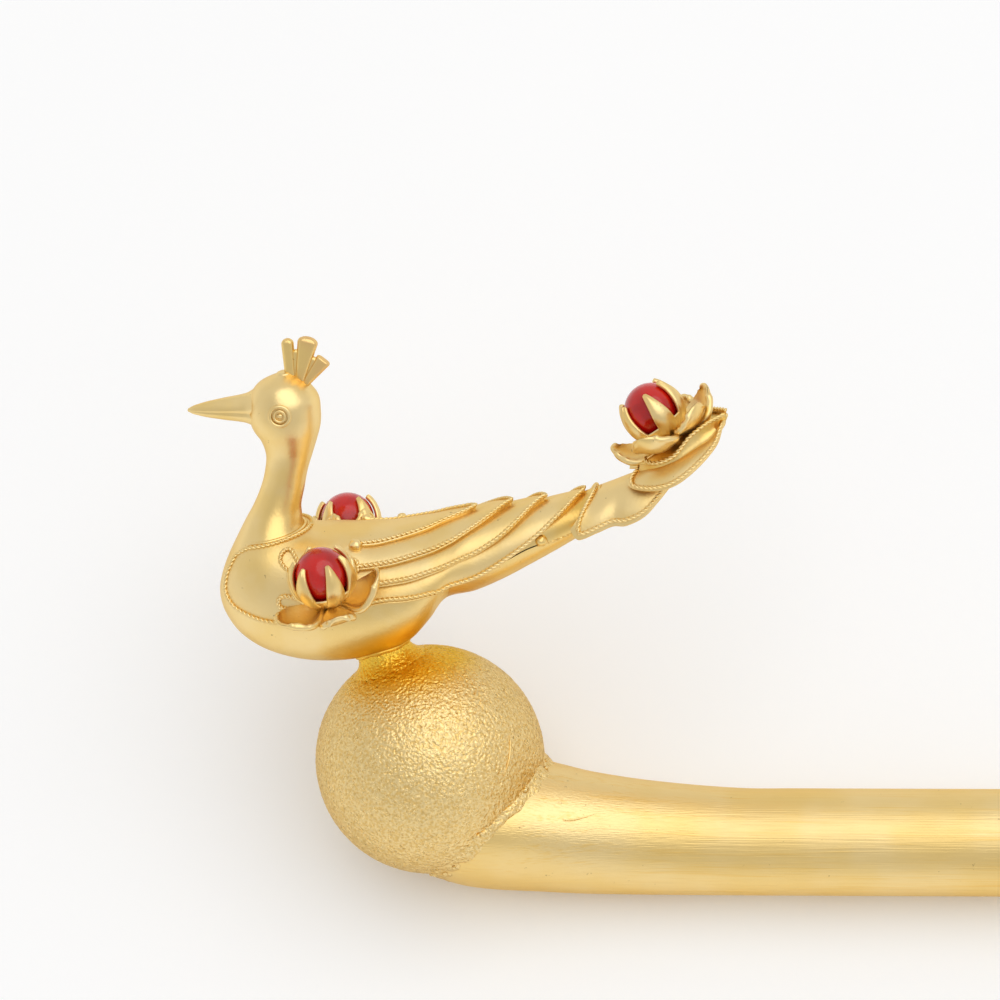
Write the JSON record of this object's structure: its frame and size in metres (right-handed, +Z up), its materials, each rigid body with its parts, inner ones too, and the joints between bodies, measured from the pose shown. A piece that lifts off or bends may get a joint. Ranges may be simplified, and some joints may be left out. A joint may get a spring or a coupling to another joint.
{
  "type": "hairpin",
  "caption": "Long straight binyeo hairpin: a pointed round shank, a frosted ball, and a bird with feathered wings, a tail and red bead flowers on it.",
  "frame": {"origin": "floor level, at the middle of the pin's length and of its width as it lies", "axes": "+X along the shank towards its tip, +Y towards the side where the bird leans, +Z up; the pin lies on the ball and the whole shank, rolled 45 degrees from upright"},
  "size_m": [0.1834, 0.0218, 0.0217],
  "materials": {
    "brushed_gold": "gilt, brushed along the shank",
    "frosted_gold": "gilt, frosted with fine punch marks",
    "satin_gold": "gilt, satin",
    "trim_gold": "gilt, slightly coppery where it was soldered",
    "coral": "polished"
  },
  "bodies": {
    "root": {"shank": "brushed_gold", "ball": "frosted_gold", "bird_body": "satin_gold", "beak": "trim_gold", "eye_left": "trim_gold", "eye_right": "trim_gold", "crest": "trim_gold", "wing_plate": "satin_gold", "rump": "satin_gold", "tail_plate": "satin_gold", "tail_leaf": "satin_gold", "tail_disc": "satin_gold", "setting_left": "trim_gold", "setting_right": "trim_gold", "setting_tail": "trim_gold", "bead_left": "coral", "bead_right": "coral", "bead_tail": "coral"}
  },
  "joints": []
}
